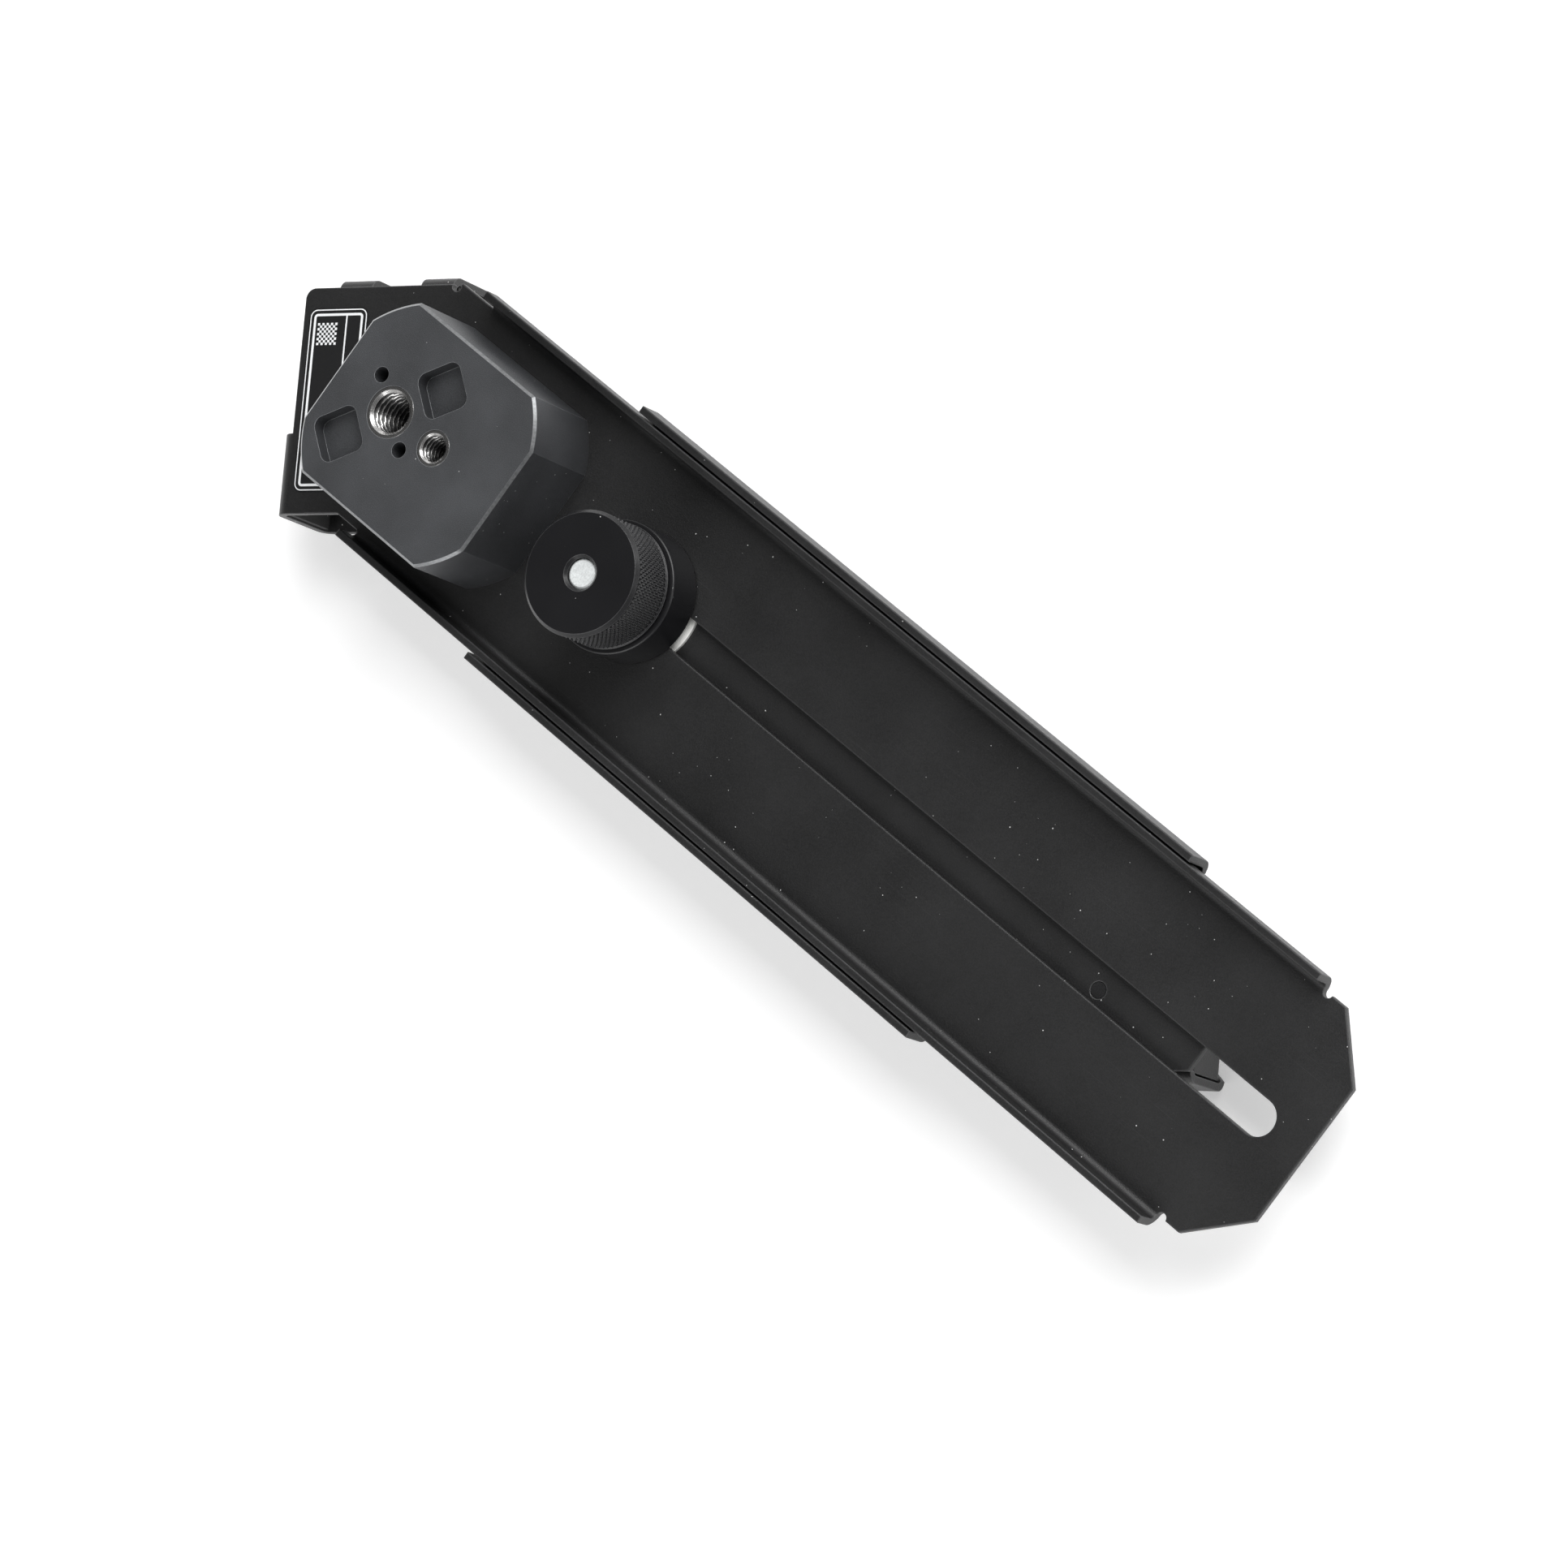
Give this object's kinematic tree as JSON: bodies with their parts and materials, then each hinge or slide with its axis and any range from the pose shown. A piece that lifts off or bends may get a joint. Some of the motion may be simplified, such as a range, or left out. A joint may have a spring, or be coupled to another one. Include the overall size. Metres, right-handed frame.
{
  "type": "telescoping camera rail with device hooks",
  "caption": "Slotted sheet-metal rail with a camera thread block, a second channel sliding behind it, and hooks at both ends",
  "frame": {"origin": "mouth of the 3/8 inch thread, in the top face of the thread block", "axes": "+X along the slot from the thread block towards the sliding end, +Y across the channel, +Z out of the thread, away from the held device"},
  "size_m": [0.2819, 0.0644, 0.0426],
  "materials": {
    "coated_steel": "satin fine powder coat",
    "anodised_aluminium": "black anodised, bead blasted",
    "bright_steel": "bare, machined",
    "dark_steel": "blackened",
    "zinc_steel": "zinc plated",
    "rubber": "matt black",
    "label_film": "printed film",
    "white_nylon": "matt"
  },
  "bodies": {
    "rail": {"main_channel": "coated_steel", "mounting_block": "anodised_aluminium", "thread_insert_large": "bright_steel", "thread_insert_small": "bright_steel", "block_screws": "dark_steel", "rating_label": "label_film", "main_head_pad": "rubber", "main_hook_liner_wide": "rubber", "main_hook_liner_near": "rubber", "main_hook_liner_far": "rubber"},
    "arm": {"sliding_channel": "coated_steel", "hook_plate": "coated_steel", "hook_plate_rivets": "dark_steel", "hook_plate_pad": "rubber", "slide_hook_liner_wide": "rubber", "slide_hook_liner_near": "rubber", "slide_hook_liner_far": "rubber", "glide_strip_upper": "white_nylon", "glide_strip_lower": "white_nylon", "clamp_stud": "zinc_steel", "slot_bush": "white_nylon", "slide_washer": "white_nylon"},
    "collar": {"clamp_collar": "anodised_aluminium"},
    "knob": {"clamp_knob": "anodised_aluminium"}
  },
  "joints": [
    {"name": "arm_slide", "type": "slide", "parent": "rail", "child": "arm", "axis": [1, 0, 0], "range_m": [0, 0.168]},
    {"name": "clamp_lift", "type": "slide", "parent": "arm", "child": "collar", "axis": [0, 0, 1], "range_m": [0, 0.002]},
    {"name": "knob_turn", "type": "hinge", "parent": "collar", "child": "knob", "pos_m": [0.0562, 0, -0.01], "axis": [0, 0, 1], "range_deg": [0, 720]}
  ],
  "couplings": [
    {"joint": "knob_turn", "follows": "clamp_lift", "rad_per_m": 6283.2}
  ]
}
